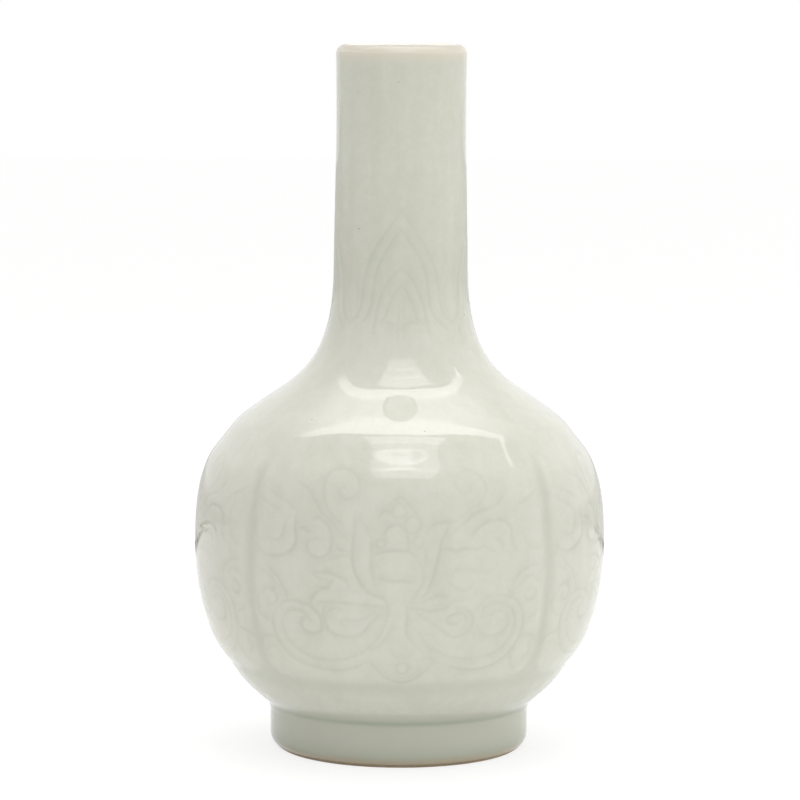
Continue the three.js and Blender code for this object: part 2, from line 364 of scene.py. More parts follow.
# The hand-trimmed wall strays from those sweeps at the neck's root. Each value below is how
# much wider the wall stands there, at which height, and over how much of it.
ROOT_TRIMS = ((-0.15, 170, 6), (0.3, 153.2, 5), (-0.15, 144, 4.5))
for wider, trim_height, reach in ROOT_TRIMS:
    profile[:, 0] += wider * hill(profile[:, 1], trim_height, reach)


def evened(line, steps):
    """A line of values, each the weighted mean of an odd number of its neighbours."""
    weights = np.hanning(steps)
    return np.convolve(np.pad(line, steps // 2, "edge"), weights / weights.sum(), "valid")


WAY_STEP = 0.1
CORNER_EVENING = 121
DIRECTION_EVENING = 23


class Wall:
    """The glazed wall's outline, told by the length of the way up it. Its corner over the
    panels is worn round, and the directions are evened over about 2 mm."""

    def __init__(self, points):
        steps = np.linalg.norm(np.diff(points, axis=0), axis=1)
        self.length = np.concatenate([[0], np.cumsum(steps)])
        self.way = np.arange(0, self.length[-1], WAY_STEP)
        radius, height = [np.interp(self.way, self.length, line) for line in points.T]
        worn = hill(height, CORNER_HEIGHT, CORNER_WEAR)
        self.radius = radius + worn * (evened(radius, CORNER_EVENING) - radius)
        self.height = height + worn * (evened(height, CORNER_EVENING) - height)
        lines = (self.radius, self.height)
        slopes = [evened(np.gradient(line, self.way), DIRECTION_EVENING) for line in lines]
        size = np.hypot(*slopes)
        self.out = slopes[1] / size
        self.up = -slopes[0] / size

    def at(self, way):
        """Radius, height and the outward direction's two parts at lengths up the wall."""
        lines = (self.radius, self.height, self.out, self.up)
        return [np.interp(way, self.way, line) for line in lines]

    def way_to(self, height):
        """The length up the wall at which it first reaches a height."""
        crest = int(np.argmax(self.height))
        return np.interp(height, self.height[:crest], self.way[:crest])


wall = Wall(profile)

# Four upright grooves part the lobes and a level one runs below them. Each panel is a rounded
# box pressed from inside, and the clay between and below the panels lies lower.
LOBES = 4
LOBE_TURN = 2 * math.pi / LOBES
PANEL_GAP = 1.2
PANEL_BOTTOM = 38.6
PANEL_TOP = 138
PANEL_ROUNDING = 12
GROOVE_DEPTH = 0.9
LEVEL_SHARE = 0.45
GROOVE_REACH = 3.2
GROOVE_FADE = 18
FULL_GROOVE_HEIGHT = 70
BAND_TOP = 35
BAND_SWELL = 0.35
BAND_MIDDLE = 28.5
PANEL_SWELL = 0.4
PANEL_SWELL_HEIGHT = 48.5
SWELL_REACH = 5
CREASE_HEIGHT = 19.4

# Glaze pools at the crease over the foot, and painted shade darkens the crease and the underside
# of the overhang just above it. Each value is how much of it, how far over the crease its middle
# lies, and over how much of the wall it spreads.
CREASE_POOLS_AND_SHADE = ((3, 0, 1.2), (0.6, 1, 3))


def eased(value, low, high):
    """0 below low and 1 above high, with an S-shaped rise between."""
    share = np.clip((value - low) / (high - low), 0, 1)
    return share * share * (3 - 2 * share)


def lobes(angle, way):
    """How deep the wall lies below its outline, from the lobes, and how much the glaze is darkened:
    where it has pooled in the grooves, and in the crease over the foot, where pooled glaze and
    painted shade darken it together. The signed distance to a rounded box, in millimetres on the
    wall, tells panel from groove."""
    radius, height, _, _ = wall.at(way)
    off_middle = np.abs((angle + LOBE_TURN / 2) % LOBE_TURN - LOBE_TURN / 2)
    beside = off_middle * radius - (LOBE_TURN / 2 * radius - PANEL_GAP / 2)
    below = wall.way_to(PANEL_BOTTOM) - way
    outside = np.hypot(np.maximum(beside + PANEL_ROUNDING, 0), np.maximum(below + PANEL_ROUNDING, 0))
    inside = np.minimum(np.maximum(beside, below) + PANEL_ROUNDING, 0)
    distance = outside + inside - PANEL_ROUNDING
    groove = hill(np.minimum(distance, PANEL_GAP / 2), PANEL_GAP / 2, GROOVE_REACH)
    groove = groove * eased(height, BAND_TOP - 3, BAND_TOP + 4)
    groove = groove * (1 - eased(height, PANEL_TOP - GROOVE_FADE, PANEL_TOP))
    swell = BAND_SWELL * hill(height, BAND_MIDDLE, SWELL_REACH) * np.ones_like(angle)
    swell = swell + PANEL_SWELL * hill(height, PANEL_SWELL_HEIGHT, SWELL_REACH)
    # Painted shade: these values darken the crease and the overhang above it, together with pooled glaze.
    crease = sum(much * hill(height, CREASE_HEIGHT + over, reach) for much, over, reach in CREASE_POOLS_AND_SHADE)
    upright = eased(height, PANEL_BOTTOM + 4, FULL_GROOVE_HEIGHT)
    depth = GROOVE_DEPTH * (LEVEL_SHARE + (1 - LEVEL_SHARE) * upright)
    return depth * groove - swell, groove + crease


# The ornament is cut freehand with a slanted blade: a lotus among scrolling stems and leaves
# on each lobe, a running scroll below them, and plantain leaves up the neck. Each line is a
# share of the full depth and the points that it passes through, as the distance right of the
# motif's middle round the wall and the height, in millimetres.
PANEL_REFERENCE = 87.5
NECK_REFERENCE = 28
CUT_WIDTH = 0.8
CUT_SHARE = 0.47
SLANT_WIDTH = 3
SLANT_SHARE = 0.43
CUT_REACH = 2.2 * SLANT_WIDTH
CUT_DEPTH = 0.08
THIN_GLAZE = 0.15


def mirrored(lines):
    """The same lines on the other side of the motif's middle."""
    return [(depth, [(-across, height) for across, height in points]) for depth, points in lines]


def round_boss(depth, across, height, radius):
    """A small circle, as the line of a seed or jewel."""
    turn = np.linspace(0, 2 * math.pi, 13)
    points = np.stack([across + radius * np.sin(turn), height + radius * np.cos(turn)], axis=1)
    return depth, points.tolist()


lotus_heart = [
    (0.9, [(-8.9, 110.5), (-7.3, 112.6), (-5.2, 113.2), (-3.4, 112.4)]),
    (1.2, [(-4.3, 115), (-3, 116.9), (-1.1, 118.2), (0.9, 118.4), (2.7, 117.5), (4.2, 115.6),
        (5.9, 113.7), (7.1, 111.3), (8.3, 109.3), (9.6, 108.4)]),
    round_boss(0.8, 0, 113.7, 2.8),
    round_boss(1, 5.5, 107.9, 3.3),
    (1.2, [(-8, 102.6), (-6.4, 103.8), (-4.9, 106.3), (-2.6, 107.7), (-0.6, 108), (1.2, 107.1),
        (2.6, 105), (3.4, 102.6), (3.6, 99.8), (3.9, 97.8)]),
    (0.9, [(-5.8, 103.4), (-5.9, 101), (-5.6, 98.2)]),
    round_boss(0.8, -7.8, 100.2, 1.8),
    round_boss(0.8, 7.9, 101, 2.1),
    (1.2, [(-10.6, 95.2), (-8.1, 96.3), (-5.7, 96.9), (-3, 97.3), (0, 97.4), (3, 97.2), (4.8, 96.6),
        (6.5, 95)]),
    (0.7, [(-10.6, 95.2), (-11.2, 92), (-11.1, 88.5), (-10.6, 85), (-9.4, 81), (-7.2, 78.4)]),
    (0.7, [(6.5, 95), (8.6, 91.8), (9.9, 87.6), (9.4, 83.8), (7.6, 80.4), (5.6, 77.6), (3.6, 75)]),
    (0.9, [(-8.2, 86.1), (-5.2, 85), (-2, 84.7), (1.4, 84.8), (4.8, 84.4)]),
    (0.8, [(-6.5, 77.6), (-5.1, 75.6), (-4.9, 72.6), (-5.1, 69.6), (-6.2, 66.2)]),
    (0.8, [(3.1, 74.2), (3.4, 71.4), (3.2, 68.2), (2.8, 65), (3.4, 62.2), (5.2, 59.4), (8, 56.2),
        (11.4, 53.4)]),
]

lotus_petals = [
    (1.4, [(-18.5, 109.6), (-19, 103.5), (-19.5, 98), (-19.4, 93), (-18.6, 89.1), (-17.3, 86),
        (-15.5, 82.8), (-13.1, 80.2), (-10, 78.8), (-6.5, 77.6)]),
    (0.8, [(-18.2, 109.8), (-15.6, 108.5), (-13.4, 106.2), (-12.1, 103.4), (-11.7, 100),
        (-11.6, 95.6), (-11.7, 91), (-11, 86.6), (-9.8, 82.6)]),
    (1.1, [(10.8, 104.3), (12.2, 106), (13.8, 107.4), (16, 108.4), (18.9, 108.8), (21.6, 108.4)]),
    (1.2, [(20.2, 107), (18.7, 103.5), (17.2, 100.6), (16.7, 97.6), (15.9, 94.4), (14.8, 90.1),
        (13.9, 86.6), (12.7, 83.4), (11.5, 80.5), (9.6, 78.4)]),
    (0.7, [(10.8, 104.3), (10.4, 101), (10.7, 97), (10.7, 92.6), (10, 87.6)]),
]

upper_stems = [
    (0.9, [(-47.5, 123.6), (-44.3, 122.3), (-41.2, 121), (-38.8, 119.1), (-36.9, 116.7),
        (-34.9, 113.8), (-32.6, 111.2), (-29.4, 108.6), (-26, 105.6), (-23, 102.7), (-19.9, 100)]),
    (0.8, [(-19.8, 103), (-24.2, 106.9), (-27.6, 110), (-30.4, 113.2), (-32.1, 116.6), (-33.2, 120.4),
        (-33.4, 124.6), (-32, 127.4), (-29, 129), (-25.2, 129.2), (-21, 128), (-18.2, 125.5),
        (-17.4, 122.3), (-18.7, 119.4), (-21.6, 117.8), (-24.6, 118.1), (-26.4, 119.9),
        (-25.8, 121.8), (-24, 122.2)]),
    (0.9, [(20.6, 103.2), (24.7, 106.3), (28.4, 108.9), (31, 111), (34.2, 112.3), (38.8, 113.5),
        (43.4, 115.6), (46.6, 119)]),
    (0.6, [(22.2, 108.6), (26.4, 111), (30.4, 113.5), (34.4, 115.6), (37.4, 118.6), (38.4, 122.4),
        (36.8, 126), (33.4, 128.4), (29.2, 128.8), (25.8, 127), (24.6, 123.8), (26.2, 120.8),
        (29.2, 120), (31.4, 121.6)]),
    (0.7, [(-64.2, 120.2), (-60, 118.9), (-55.5, 117.1), (-50.6, 115.3), (-46.6, 112.6)]),
    (0.7, [(-65.2, 115.9), (-61, 114.1), (-57.4, 112.9), (-53.8, 111.3), (-50.4, 108.6)]),
    (0.5, [(64.2, 119.4), (60, 117.2), (55.5, 115.4), (51.6, 113.2), (49.4, 110)]),
]

side_hooks = [
    (1.3, [(-37, 108.8), (-34.4, 109.6), (-31.8, 108.3), (-29.9, 106.2), (-28.7, 103.4),
        (-28.2, 100.4), (-28.8, 97.4), (-30.4, 94.8), (-33, 93.4), (-36, 93.8), (-38.3, 95.5),
        (-39.1, 98), (-38, 100.2), (-35.8, 101.4), (-33.6, 100.6)]),
    (1.1, [(-43.8, 105), (-41, 104.5), (-38.4, 103.8), (-36.2, 102.6)]),
    (0.9, [(-27.2, 101.6), (-26.6, 98.8), (-24.4, 97), (-22.2, 96.6), (-20, 95.6)]),
    (1.2, [(30.2, 102), (31.2, 104), (33, 105.7), (35.3, 107.1), (37.9, 108.3), (41, 108.6),
        (44.4, 108.2), (47, 106.9), (48.4, 104.6), (48.6, 101.6), (49, 98.8), (50.4, 96.4)]),
    (1.1, [(40.8, 101.4), (42.4, 100.4), (43.7, 98.9), (44.6, 96.8)]),
    (1.1, [(16.8, 97.3), (19, 97.8), (21.4, 97.5), (23.8, 96.8), (26.6, 97.7), (29.6, 97.7),
        (32.6, 97.3), (35.2, 98.4), (37.2, 97.5), (39, 96.4)]),
    (1.3, [(-45.3, 109.2), (-45, 104.4), (-44.4, 99.8), (-45.8, 96.6), (-48.8, 94.4), (-53, 92.9),
        (-57, 92.6), (-60.8, 93.4), (-63.6, 95.2)]),
    (0.8, [(-50, 108.4), (-50.3, 105), (-51.2, 101.6), (-53.4, 99.6), (-56.2, 99.3), (-59, 100.9)]),
    (0.6, [(54.4, 110), (54.2, 105), (55, 100.4), (57.4, 97.2), (61, 95.6), (64.4, 95.4)]),
]

leaves = [
    (1, [(-5.7, 73.6), (-9, 74.3), (-13, 74.7), (-19, 75.1), (-25, 75.3), (-30, 75.3), (-34.4, 75)]),
    (1.2, [(-38.2, 73.2), (-37.4, 75.6), (-36.2, 77.7), (-34.8, 79.2), (-33.2, 80), (-32.6, 81)]),
    (1.3, [(-35.7, 81.5), (-33.4, 81.2), (-31.5, 80.8), (-29.9, 81), (-29, 82.9), (-27.4, 84.4)]),
    (1.4, [(-37.1, 87.3), (-34.8, 87.2), (-31.9, 87.5), (-29.3, 87.4), (-27.1, 86.7), (-25, 85.8),
        (-22.9, 84.9), (-21.5, 83.4), (-20.7, 81.2)]),
    (0.9, [(-37.1, 87.3), (-35.3, 85.7), (-33.4, 84.7), (-31.4, 84.9)]),
    (0.8, [(-36.9, 88.8), (-35.2, 90.2), (-32.4, 91.6), (-29.5, 92.6), (-26.6, 93.5), (-23.2, 94.7),
        (-20, 95.6)]),
    (0.8, [(-24.8, 80.2), (-21.8, 80.5), (-18, 80), (-14, 80)]),
    (1, [(10, 76.2), (13.4, 77.8), (16.1, 78.8), (18, 78.2), (20.2, 78)]),
    (0.8, [(3.1, 74), (5.4, 73.4), (8.4, 73), (11.8, 72.2), (15, 72.4), (18.6, 73.1), (20.9, 74.4),
        (23, 76), (26.4, 76.8)]),
    (0.7, [(20.2, 84.2), (22, 82.8), (23.8, 81.4), (26.6, 80.6), (29.6, 81.2)]),
    (0.6, [(21.2, 86), (22.6, 88), (25, 89.3), (28.4, 89.4), (31.8, 88.2), (35.4, 87.4), (38.6, 87.8)]),
    (0.9, [(-59.4, 89.4), (-56.4, 86.3), (-53.4, 84), (-51.6, 81.3), (-49.8, 78.4), (-48.8, 75.8),
        (-48, 74.3)]),
    (0.6, [(-62.6, 86.6), (-59, 84.6), (-55.6, 82.6), (-53, 79.4), (-51.6, 76.4)]),
    (0.9, [(49.6, 81.2), (50.4, 83.6), (52.2, 85.6), (55, 87.4), (58.6, 88.7), (62.2, 88.9)]),
    (0.7, [(53.2, 81.4), (55.4, 83.6), (58.2, 84.3), (61.2, 83.6), (63.6, 81.4)]),
    (1, [(47, 80), (49, 77.7), (49.6, 76.1)]),
]

small_curls = [
    (1.1, [(-8.1, 71.2), (-10.3, 68.8), (-12.6, 66.6), (-14.1, 64.4), (-16.4, 62.3), (-20, 61),
        (-24, 60.8), (-27.6, 61.7), (-30.4, 63.6), (-31.7, 66.4), (-31.4, 69.2), (-29.8, 71.6),
        (-27, 72.9), (-24, 72.2)]),
    (0.9, [(-9.4, 71.6), (-12.2, 70.8), (-14.2, 69.2), (-17, 68), (-20, 67.8), (-22.4, 68.4),
        (-24.6, 67.8), (-24.4, 66.2), (-22.8, 65.8)]),
    (1.1, [(-31.3, 74.4), (-32.2, 71.2), (-32.5, 68), (-32, 65)]),
    (1.1, [(8.4, 70.6), (11.6, 68.6), (14.5, 66.4), (17, 64.6), (19, 63), (21, 61.7), (23.8, 60.9),
        (26.7, 61.2), (29.4, 62.4), (31.1, 64.4), (31.9, 66.8), (31.3, 69.3), (29.4, 71.4),
        (26.6, 72.8), (23.4, 73.6)]),
    (1.2, [(28.4, 67.2), (28.2, 69.4), (26.2, 71), (23.4, 70.9), (20.9, 69.8), (19.8, 68.1),
        (21.2, 66.7), (23.6, 66.2), (25.6, 67)]),
    (0.9, [(-61.8, 76.4), (-60.2, 78.3), (-57.8, 78.8), (-55.4, 77.8), (-54.2, 75.8), (-54.8, 73.4),
        (-56.7, 71.9), (-58.7, 72.7), (-59, 74.6)]),
    (0.9, [(-56.8, 80.8), (-55.4, 79.2), (-54.3, 77.4)]),
    (0.8, [(-64.4, 75), (-65.2, 71.6), (-64.6, 68.4), (-62.8, 66.5), (-60.5, 65.6), (-57.8, 65.6)]),
    (0.9, [(55, 76.6), (56.8, 74.7), (59.6, 74.4), (61.7, 76), (61.5, 78.4), (59.4, 79.8),
        (57.2, 79.2)]),
    (0.7, [(54.6, 66.7), (58, 66.5), (61.4, 67.2), (63.6, 69)]),
    (0.9, [(-67, 53.6), (-65.2, 56.5), (-62.7, 57.7), (-60, 58), (-57, 58.6)]),
    (0.7, [(-64.2, 51.6), (-61.9, 53.2), (-58.8, 53.6), (-56.6, 52)]),
    (0.8, [(56, 58.9), (59, 59), (62.4, 58.2), (65.4, 56.4)]),
    (1, [(51.8, 52.6), (52.8, 50), (53.9, 47.4), (56, 44.8)]),
    (0.7, [(61.2, 55.2), (62.6, 53.2), (62.2, 50.8), (60.2, 49.4)]),
]

great_scrolls = [
    (1.1, [(-52.6, 72.3), (-55.6, 69.3), (-57.4, 65.9), (-57.7, 62), (-56.7, 58), (-54.5, 53.9),
        (-50.8, 50.3), (-46, 47.9), (-39, 46.3), (-32, 45.5), (-26, 45.8), (-20.5, 47.2),
        (-16.2, 49.2), (-12.6, 50.2)]),
    (0.9, [(-51.2, 67.8), (-52.6, 64.6), (-52.3, 60.6), (-50.3, 57), (-47.2, 54.3), (-43, 52),
        (-37.5, 50.4), (-31, 50), (-25, 50.9), (-20, 52.4), (-15.3, 54.7), (-12, 57.4), (-9.2, 60.3),
        (-7.4, 63.4), (-6.1, 66.4)]),
    (1.2, [(-52.6, 72.3), (-50.6, 73.9), (-47, 74.6), (-43, 74.2), (-39, 73.2), (-36, 71.4),
        (-34, 69), (-33.2, 66), (-33.8, 63.4), (-35.8, 61.8), (-38.8, 61.4), (-41.5, 62.3),
        (-43, 64.6), (-42.3, 66.9), (-40.2, 67.9)]),
    (1, [(-51.2, 67.8), (-49.3, 69.6), (-46.8, 70.7), (-44.2, 70.9), (-41.6, 70.2), (-39.7, 68.4),
        (-38.4, 66.4)]),
    (1.1, [(33.6, 71.4), (34.4, 73.8), (35.8, 75.8), (38, 77.1), (41, 77.7), (45.6, 77.3),
        (49.3, 76.1), (52.6, 73.6), (55, 70), (56, 66), (55.9, 62), (54.8, 58), (52.6, 54),
        (49.6, 50.8), (45, 48), (39, 46.4), (33, 46.1), (27, 47.1), (21.8, 48.6), (17.4, 50.4),
        (14.2, 52.4)]),
    (0.9, [(36, 70.6), (37, 72.6), (38.8, 74), (41.6, 74.6), (45.2, 73.9), (48.2, 72.3), (50.2, 70),
        (51.4, 66.8), (51.6, 63.2), (50.8, 59.8), (48.6, 56.6), (45.4, 54), (41.4, 52.3), (36, 51.3),
        (30.5, 51.2), (25.5, 51.8), (20.6, 53), (16.2, 55), (12.8, 57), (10.4, 59.6), (8.5, 62.8),
        (6.6, 65.2)]),
    (0.9, [(39.2, 69.5), (41.8, 71), (44.7, 70.8), (47, 69.4), (48.2, 66.6), (47.4, 63.4),
        (44.8, 61.2), (41, 60.3), (37.2, 61), (34.6, 63), (33.6, 65.8), (34.6, 68.2), (36.8, 69.2)]),
]

pendant = [
    (1.1, [(-13, 50.2), (-10.2, 46.9), (-8.1, 44.8), (-5.2, 42.4), (-2, 41), (1.4, 40.7), (4.8, 41.3),
        (8.5, 43.3), (11.3, 45.7), (13.4, 47.8), (15.8, 49.8)]),
    (0.7, [(-9.6, 50.4), (-7.6, 47.2), (-4.6, 44.5), (-1, 43.2), (2, 43), (5.2, 43.9), (8.2, 46.2),
        (10.4, 49)]),
    round_boss(0.8, 1.3, 47.6, 2.6),
    (0.7, [(-2.2, 68.4), (-3.6, 64.4), (-5.8, 60.6), (-9, 57.6), (-12.6, 55.6)]),
    (0.6, [(-4.6, 56.4), (-2, 53.2), (1.4, 52), (4.8, 53), (7, 55.6)]),
]

panel_lines = [*lotus_heart, *lotus_petals, *upper_stems, *side_hooks, *leaves, *small_curls]
panel_lines += [*great_scrolls, *pendant]

half_leaf = [
    (1, [(0, 230.4), (2.6, 227.6), (6, 222.6), (9, 218), (11.4, 214.2), (13.4, 210.2), (14.9, 206),
        (15.9, 201.6), (16.5, 197), (16.8, 192.6), (17.6, 189.2), (19.4, 186), (22, 184)]),
    (1, [(0, 223.2), (2, 221.2), (4.6, 217), (7, 213), (8.9, 209.2), (10.3, 205.4), (11.2, 200.8),
        (11.7, 196), (12.2, 191.4), (13.6, 187.4), (16.2, 184.2), (18.6, 181.6)]),
    (0.9, [(0, 207.2), (2.8, 205), (5.4, 201.2), (7.5, 197.2), (8.9, 193), (9.8, 188.6),
        (10.3, 184.4), (10.6, 180)]),
    (0.9, [(0, 200.2), (2.3, 197.4), (4.2, 193.2), (5.5, 189.4), (6.6, 186), (9.2, 184.2)]),
    (0.6, [(0.9, 196), (0.8, 190), (1, 184), (1.3, 178)]),
    (0.8, [(3, 184.2), (5, 184.8), (7.4, 184.4)]),
    (0.5, [(22, 216), (20.9, 213.4), (19.6, 209.4), (18.2, 204.6), (17.1, 199.6)]),
    (0.5, [(22, 208.6), (20.8, 205.6), (19.6, 201), (18.9, 196), (18.9, 191)]),
]
neck_lines = [*half_leaf, *mirrored(half_leaf)]

running_scroll = [
    (0.25, [(-11.4, 30), (-8.6, 33), (-4.6, 34.2), (-0.8, 32.8), (0.8, 29.8), (-0.6, 27.2),
        (-3.6, 26.6), (-5.6, 28.6), (-4.6, 30.8)]),
    (0.2, [(0.8, 29.8), (3, 25.6), (6.8, 23.8), (10.2, 25.4), (11.4, 28.4), (10, 31), (7.2, 31.4),
        (5.6, 29.4)]),
]
SCROLLS_PER_LOBE = 6


def smooth_line(points, steps=7):
    """Points along a curve that passes through each given point: between two of them, the
    cubic whose slope at each end is half the way between that end's two neighbours."""
    points = np.asarray(points, float)
    longer = np.vstack([2 * points[0] - points[1], points, 2 * points[-1] - points[-2]])
    before, start, end, after = longer[:-3], longer[1:-2], longer[2:-1], longer[3:]
    t = (np.arange(steps) / steps)[:, None, None]
    slope = (end - before) * t
    bend = (2 * before - 5 * start + 4 * end - after) * t**2
    twist = (3 * start - before - 3 * end + after) * t**3
    curve = start + (slope + bend + twist) / 2
    return np.vstack([curve.transpose(1, 0, 2).reshape(-1, 2), points[-1:]])


def on_wall(lines, reference, middle=0.0):
    """Each line as a share of the depth, the angles round the wall and the lengths up it."""
    placed = []
    for depth, points in lines:
        across, height = smooth_line(points).T
        placed.append((depth, middle + across / reference, wall.way_to(height)))
    return placed


def incised(angles, ways, lines):
    """How much of a cut there is at each point of a patch, from 0 to about 1.3. A cut is a
    bell curve of the distance to the nearest line, wider on the left of the line's direction,
    where the blade slanted, and it runs out towards the line's ends."""
    cut = np.zeros((len(angles), len(ways)))
    radii = np.interp(ways, wall.way, wall.radius)
    spare = CUT_REACH / radii.min()
    for depth, line_angles, line_ways in lines:
        sides = [line_angles.min() - spare, line_angles.max() + spare]
        ends = [line_ways.min() - CUT_REACH, line_ways.max() + CUT_REACH]
        columns = slice(*np.searchsorted(angles, sides))
        rows = slice(*np.searchsorted(ways, ends))
        radius = radii[None, rows, None]
        if radius.size == 0 or angles[columns].size == 0:
            continue
        right = (angles[columns, None, None] - line_angles[:-1]) * radius
        above = ways[None, rows, None] - line_ways[:-1]
        run = np.diff(line_angles) * radius
        rise = np.diff(line_ways)
        share = np.clip((right * run + above * rise) / (run**2 + rise**2), 0, 1)
        gap = np.hypot(right - share * run, above - share * rise)
        nearest = gap.argmin(axis=-1)[..., None]
        gap = np.take_along_axis(gap, nearest, -1)[..., 0]
        share = np.take_along_axis(share, nearest, -1)[..., 0]
        side = np.take_along_axis(run * above - rise * right, nearest, -1)[..., 0]
        progress = (nearest[..., 0] + share) / len(rise)
        closed = np.hypot(line_angles[0] - line_angles[-1], line_ways[0] - line_ways[-1]) < 1e-6
        taper = 1 if closed else np.sin(math.pi * (0.1 + 0.8 * progress)) ** 0.5
        slant = np.where(side > 0, hill(gap, 0, SLANT_WIDTH), hill(gap, 0, CUT_WIDTH))
        here = depth * taper * (CUT_SHARE * hill(gap, 0, CUT_WIDTH) + SLANT_SHARE * slant)
        cut[columns, rows] = np.maximum(cut[columns, rows], here)
    return cut


def laid_slab(name, angles, ways, lines, closed, back_step=8):
    """A stretch of the coat as a closed slab: a fine glazed face, a coarse back under it, and
    a rim that joins them. The face is the wall's outline, moved in by the lobes and the cuts,
    and its normals come from the slopes of the same depths, so that stretches meet unseen.
    The back stays a thin coat's depth under the grooves."""
    angle_step, way_step = angles[1] - angles[0], ways[1] - ways[0]
    wide_angles = np.concatenate([[angles[0] - angle_step], angles, [angles[-1] + angle_step]])
    wide_ways = np.concatenate([[ways[0] - way_step], ways, [ways[-1] + way_step]])
    depth, groove = lobes(wide_angles[:, None], wide_ways[None, :])
    back_depth = np.maximum(GLAZE, depth + THIN_GLAZE)[1:-1, 1:-1]
    cut = incised(wide_angles, wide_ways, lines)
    depth = depth + CUT_DEPTH * cut
    radius, height, out, up = wall.at(ways)
    slope_round = (depth[2:, 1:-1] - depth[:-2, 1:-1]) / (2 * angle_step * radius)
    slope_along = (depth[1:-1, 2:] - depth[1:-1, :-2]) / (2 * way_step)
    depth, groove, cut = depth[1:-1, 1:-1], groove[1:-1, 1:-1], cut[1:-1, 1:-1]
    sine, cosine = np.sin(angles)[:, None], np.cos(angles)[:, None]

    def placed(radial, upright):
        return np.stack([sine * radial, -cosine * radial, upright + 0 * sine], axis=-1)

    face = placed(radius - depth * out, height - depth * up)
    back = placed(radius - back_depth * out, height - back_depth * up)[::back_step, ::back_step]
    around = np.stack([cosine + 0 * radius, sine + 0 * radius, 0 * (sine + radius)], axis=-1)
    normal = placed(out + 0 * depth, up + 0 * depth)
    along = placed(-up + 0 * depth, out + 0 * depth)
    normal = normal + slope_round[..., None] * around + slope_along[..., None] * along
    normal /= np.linalg.norm(normal, axis=-1, keepdims=True)
    back_normal = -placed(out + 0 * depth, up + 0 * depth)[::back_step, ::back_step]
    if closed:
        face, back, normal, back_normal = face[:-1], back[:-1], normal[:-1], back_normal[:-1]
        cut, groove = cut[:-1], groove[:-1]

    columns, rows = face.shape[:2]
    face_ids = np.arange(columns * rows).reshape(columns, rows)
    back_ids = columns * rows + np.arange(back.shape[0] * back.shape[1]).reshape(back.shape[:2])
    if closed:
        face_ids = np.vstack([face_ids, face_ids[:1]])
        back_ids = np.vstack([back_ids, back_ids[:1]])

    def squares(ids):
        return np.stack([ids[:-1, :-1], ids[1:, :-1], ids[1:, 1:], ids[:-1, 1:]], axis=-1).reshape(-1, 4)

    def rim(face_line, back_line):
        starts = np.arange(len(back_line) - 1)[:, None] * back_step
        fine = face_line[starts + np.arange(back_step + 1)]
        return np.hstack([fine, back_line[1:, None], back_line[:-1, None]])

    rims = [rim(face_ids[:, -1], back_ids[:, -1]), rim(face_ids[::-1, 0], back_ids[::-1, 0])]
    if not closed:
        rims += [rim(face_ids[0], back_ids[0]), rim(face_ids[-1, ::-1], back_ids[-1, ::-1])]
    polygons = [squares(face_ids), squares(back_ids)[:, ::-1], np.vstack(rims)]

    points = np.concatenate([face.reshape(-1, 3), back.reshape(-1, 3)]) * MM
    normals = np.concatenate([normal.reshape(-1, 3), back_normal.reshape(-1, 3)])
    sizes = np.concatenate([np.full(len(group), group.shape[1]) for group in polygons])
    corners = np.concatenate([group.ravel() for group in polygons])
    mesh = bpy.data.meshes.new(name)
    mesh.vertices.add(len(points))
    mesh.vertices.foreach_set("co", points.ravel())
    mesh.loops.add(len(corners))
    mesh.loops.foreach_set("vertex_index", corners)
    mesh.polygons.add(len(sizes))
    mesh.polygons.foreach_set("loop_start", np.cumsum(sizes) - sizes)
    mesh.update(calc_edges=True)
    mesh.polygons.foreach_set("use_smooth", np.ones(len(sizes), bool))
    mesh.normals_split_custom_set_from_vertices(normals.tolist())
    hidden = np.zeros(back.shape[0] * back.shape[1])
    # The groove attribute carries pooled glaze in the grooves, and pooled glaze with painted shade at the
    # crease.
    for kind, shares in (("cut", cut), ("groove", groove)):
        spread = mesh.attributes.new(kind, "FLOAT", "POINT")
        spread.data.foreach_set("value", np.concatenate([shares.ravel(), hidden]).astype(np.float32))
    shape = bpy.data.objects.new(name, mesh)
    bpy.context.scene.collection.objects.link(shape)
    return shape


GLAZE_TONE = tone(209, 208, 197)
GLAZE_DEEP = tone(193, 195, 180)
POOLED_GLAZE_AND_SHADE_TONE = tone(166, 172, 154)
FOOT_SHADE_TONE = tone(187, 188, 174)
LIP_TONE = tone(210, 203, 187)
CREST_SHADE_TONE = tone(176, 170, 156)
MOUTH_LIGHT_TONE = tone(240, 234, 222)
EDGE_TONE = tone(190, 174, 148)
SPECK_TONE = tone(96, 78, 60)
NECK_GREYS = (165, 215)
LOW_SHADE_HEIGHT = 12
THIN_LIP_REACH = 9
SHADED_CREST_REACH = 2.8
WIPED_EDGE = (2.8, 7)


